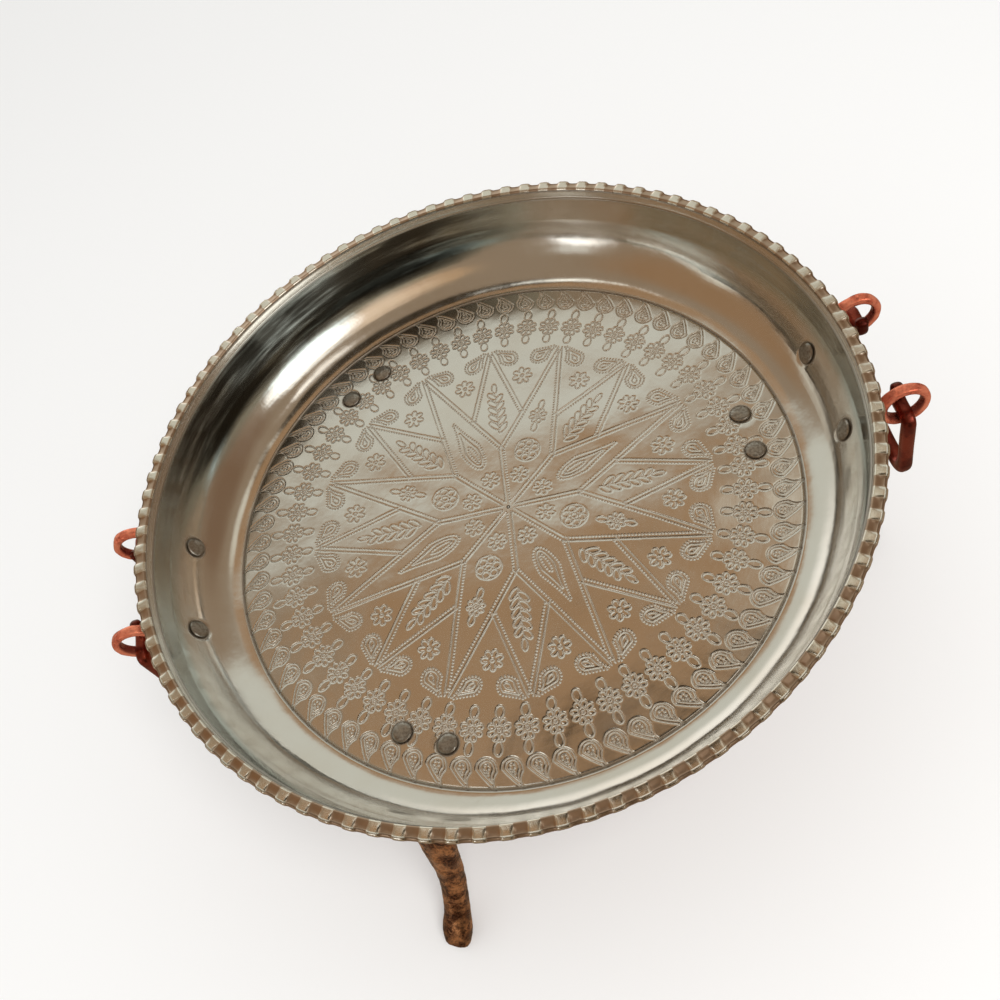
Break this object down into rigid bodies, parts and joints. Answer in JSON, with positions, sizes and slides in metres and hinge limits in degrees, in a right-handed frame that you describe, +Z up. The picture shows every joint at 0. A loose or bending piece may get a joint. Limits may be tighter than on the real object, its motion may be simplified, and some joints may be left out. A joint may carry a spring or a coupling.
{
  "type": "footed serving tray",
  "caption": "Round tinned copper tray with chased star floor, coved wall, crimped rim, splayed cast feet and riveted drop handles.",
  "frame": {"origin": "on the ground under the middle of the tray", "axes": "+X through the middle of the right handle, +Z up"},
  "size_m": [0.3352, 0.2998, 0.1535],
  "materials": {
    "tinned_copper": "polished tin lining inside with chased lines, bare copper outside",
    "rivet_metal": "dull tinned, hammered heads",
    "foot_copper": "cast, mottled brown patina, worn bright at the toe",
    "eyelet_copper": "bright bare copper, forged",
    "bail_copper": "dark red-brown copper patina"
  },
  "bodies": {
    "tray": {"tray_pan": "tinned_copper", "foot_right": "foot_copper", "foot_back": "foot_copper", "foot_front": "foot_copper", "foot_rivet_right_1": "rivet_metal", "foot_rivet_right_2": "rivet_metal", "foot_rivet_back_1": "rivet_metal", "foot_rivet_back_2": "rivet_metal", "foot_rivet_front_1": "rivet_metal", "foot_rivet_front_2": "rivet_metal", "eyelet_right_front": "eyelet_copper", "eyelet_right_back": "eyelet_copper", "eyelet_left_front": "eyelet_copper", "eyelet_left_back": "eyelet_copper", "eyelet_rivet_right_front": "rivet_metal", "eyelet_rivet_right_back": "rivet_metal", "eyelet_rivet_left_front": "rivet_metal", "eyelet_rivet_left_back": "rivet_metal"},
    "right_handle": {"bail_right": "bail_copper"},
    "left_handle": {"bail_left": "bail_copper"}
  },
  "joints": [
    {"name": "right_handle_swing", "type": "hinge", "parent": "tray", "child": "right_handle", "pos_m": [0.158, 0, 0.13115], "axis": [0, -1, 0], "range_deg": [-40, 195]},
    {"name": "left_handle_swing", "type": "hinge", "parent": "tray", "child": "left_handle", "pos_m": [-0.158, 0, 0.13115], "axis": [0, 1, 0], "range_deg": [-40, 195]}
  ]
}
